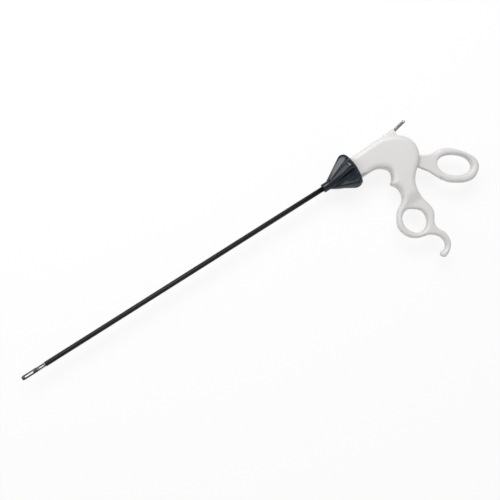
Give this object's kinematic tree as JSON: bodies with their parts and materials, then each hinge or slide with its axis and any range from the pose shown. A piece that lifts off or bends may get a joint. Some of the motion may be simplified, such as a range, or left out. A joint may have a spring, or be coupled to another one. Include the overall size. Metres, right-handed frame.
{
  "type": "laparoscopic grasper",
  "caption": "Hand-held laparoscopic grasper: ring handle, fluted rotation knob, long insulated shaft and fenestrated jaws that open by a cam.",
  "frame": {"origin": "on the shaft's axis at the rotation knob's nose face, where the bare insulated shaft starts", "axes": "+X along the shaft from the jaws towards the hand, +Y to the top of the handle, +Z to the left flank, which faces up as the grasper lies on a table"},
  "size_m": [0.4784, 0.1354, 0.0365],
  "materials": {
    "white_plastic": "satin moulded",
    "navy_plastic": "glossy moulded",
    "black_sleeve": "smooth shrink sleeve",
    "steel": "satin stainless",
    "jaw_steel": "fine ground stainless",
    "brass": "turned",
    "nylon": "natural",
    "silicone": "smooth"
  },
  "bodies": {
    "handle": {"handle_shell_left": "white_plastic", "handle_shell_right": "white_plastic", "shell_screws": "steel", "lever_pivot_pin": "steel", "cautery_post": "steel", "contact_spring": "brass", "thrust_washers": "nylon"},
    "shaft": {"rotation_knob": "navy_plastic", "tube_hub": "brass", "hub_key": "steel", "friction_ring": "silicone", "outer_tube": "steel", "insulation_sleeve": "black_sleeve", "shaft_seal": "silicone", "seal_cap": "nylon", "jaw_clevis": "steel", "jaw_pivot_pin": "steel"},
    "rod": {"drive_rod": "steel", "rod_guides": "nylon", "drive_pin": "steel", "rod_ball": "steel", "ball_lock_nut": "brass"},
    "lever": {"thumb_lever": "white_plastic", "lever_bushing": "brass"},
    "jaw_upper": {"upper_jaw": "jaw_steel"},
    "jaw_lower": {"lower_jaw": "jaw_steel"}
  },
  "joints": [
    {"name": "knob_spin", "type": "hinge", "parent": "handle", "child": "shaft", "pos_m": [0, 0, 0], "axis": [1, 0, 0], "continuous": true},
    {"name": "lever_pivot", "type": "hinge", "parent": "handle", "child": "lever", "pos_m": [0.08, -0.0085, 0], "axis": [0, 0, 1], "range_deg": [0, 25]},
    {"name": "rod_slide", "type": "slide", "parent": "shaft", "child": "rod", "axis": [-1, 0, 0], "range_m": [0, 0.00377]},
    {"name": "upper_jaw_pivot", "type": "hinge", "parent": "shaft", "child": "jaw_upper", "pos_m": [-0.3216, 0, 0], "axis": [0, 1, 0], "range_deg": [0, 22]},
    {"name": "lower_jaw_pivot", "type": "hinge", "parent": "shaft", "child": "jaw_lower", "pos_m": [-0.3216, 0, 0], "axis": [0, -1, 0], "range_deg": [0, 22]}
  ],
  "couplings": [
    {"joint": "rod_slide", "follows": "lever_pivot", "m_per_rad": 0.0086375},
    {"joint": "upper_jaw_pivot", "follows": "lever_pivot", "ratio": 0.88},
    {"joint": "lower_jaw_pivot", "follows": "lever_pivot", "ratio": 0.88}
  ]
}
